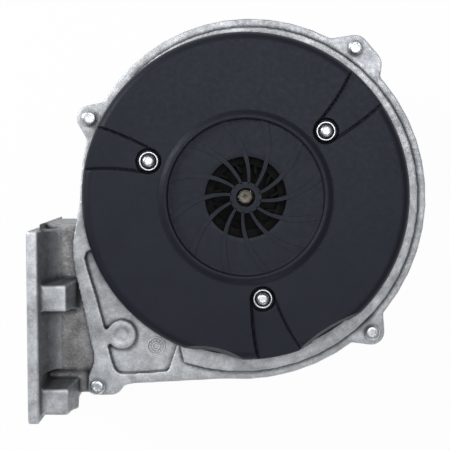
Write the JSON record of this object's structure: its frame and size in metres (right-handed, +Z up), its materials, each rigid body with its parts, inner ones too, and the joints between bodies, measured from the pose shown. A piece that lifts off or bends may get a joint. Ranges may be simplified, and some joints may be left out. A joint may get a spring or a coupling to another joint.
{
  "type": "premix gas blower",
  "caption": "Scroll blower for a condensing boiler: cast scroll casing with square outlet flange, round intake, motor under a black cover with a swirled grille.",
  "frame": {"origin": "middle of the blower's footprint, on the plane of the intake face that it rests on", "axes": "+Z up along the impeller's axis towards the motor cover; -X out of the outlet flange; +Y to the scroll's start"},
  "size_m": [0.2336, 0.236, 0.125],
  "materials": {
    "cast_aluminium": "as-cast, fine mottled grain, satin",
    "cover_plastic": "finely grained charcoal black glass-filled plastic",
    "zinc_steel": "bright zinc-plated steel",
    "shaft_steel": "ground steel with a slight straw tint",
    "black_rubber": "matt black rubber",
    "wheel_aluminium": "bare aluminium",
    "lamination_steel": "stacked laminations",
    "copper_wire": "enamelled copper",
    "white_plastic": "natural white moulded plastic",
    "magnet_ferrite": "sintered ferrite, dull dark grey",
    "board_laminate": "green laminate",
    "brass": "bright brass",
    "capacitor_sleeve": "shrink sleeve",
    "fan_plastic": "black moulded plastic"
  },
  "bodies": {
    "housing": {"bearing_tube": "shaft_steel", "board_spacer": "fan_plastic", "bulk_capacitor_1": "capacitor_sleeve", "bulk_capacitor_2": "capacitor_sleeve", "casing_screw_1": "zinc_steel", "casing_screw_2": "zinc_steel", "casing_screw_3": "zinc_steel", "casing_screw_4": "zinc_steel", "casing_seal": "black_rubber", "circuit_board": "board_laminate", "cover_grommet_1": "black_rubber", "cover_grommet_2": "black_rubber", "cover_grommet_3": "black_rubber", "cover_ring_1": "zinc_steel", "cover_ring_2": "zinc_steel", "cover_ring_3": "zinc_steel", "cover_screw_1": "zinc_steel", "cover_screw_2": "zinc_steel", "cover_screw_3": "zinc_steel", "heat_sink": "wheel_aluminium", "intake_nozzle": "wheel_aluminium", "intake_seal": "black_rubber", "line_choke": "copper_wire", "lower_bearing_outer_ring": "zinc_steel", "mains_socket": "fan_plastic", "mains_socket_pin_1": "brass", "mains_socket_pin_2": "brass", "mains_socket_pin_3": "brass", "motor_cover": "cover_plastic", "motor_driver_chip": "fan_plastic", "motor_side_casing": "cast_aluminium", "outlet_seal": "black_rubber", "power_module": "fan_plastic", "scroll_casing": "cast_aluminium", "signal_socket": "fan_plastic", "signal_socket_pin_1": "brass", "signal_socket_pin_2": "brass", "signal_socket_pin_3": "brass", "signal_socket_pin_4": "brass", "stator_cap_lower": "white_plastic", "stator_cap_upper": "white_plastic", "stator_stack": "lamination_steel", "stator_winding": "copper_wire", "upper_bearing_outer_ring": "zinc_steel", "wave_spring": "shaft_steel"},
    "rotor": {"shaft": "shaft_steel", "impeller_wheel": "wheel_aluminium", "impeller_shroud": "wheel_aluminium", "impeller_bush": "brass", "impeller_retainer": "zinc_steel", "rotor_can": "zinc_steel", "rotor_magnet": "magnet_ferrite", "rotor_hub": "brass", "cooling_wheel": "fan_plastic", "lower_bearing_inner_ring": "zinc_steel", "upper_bearing_inner_ring": "zinc_steel"},
    "lower_cage": {"lower_bearing_ball_cage": "zinc_steel"},
    "upper_cage": {"upper_bearing_ball_cage": "zinc_steel"}
  },
  "joints": [
    {"name": "rotor_spin", "type": "hinge", "parent": "housing", "child": "rotor", "pos_m": [0.00916, 0.01348, 0.08], "axis": [0, 0, -1], "continuous": true},
    {"name": "lower_cage_spin", "type": "hinge", "parent": "housing", "child": "lower_cage", "pos_m": [0.00916, 0.01348, 0.0845], "axis": [0, 0, -1], "continuous": true},
    {"name": "upper_cage_spin", "type": "hinge", "parent": "housing", "child": "upper_cage", "pos_m": [0.00916, 0.01348, 0.0965], "axis": [0, 0, -1], "continuous": true}
  ],
  "couplings": [
    {"joint": "lower_cage_spin", "follows": "rotor_spin", "ratio": 0.395},
    {"joint": "upper_cage_spin", "follows": "rotor_spin", "ratio": 0.395}
  ]
}
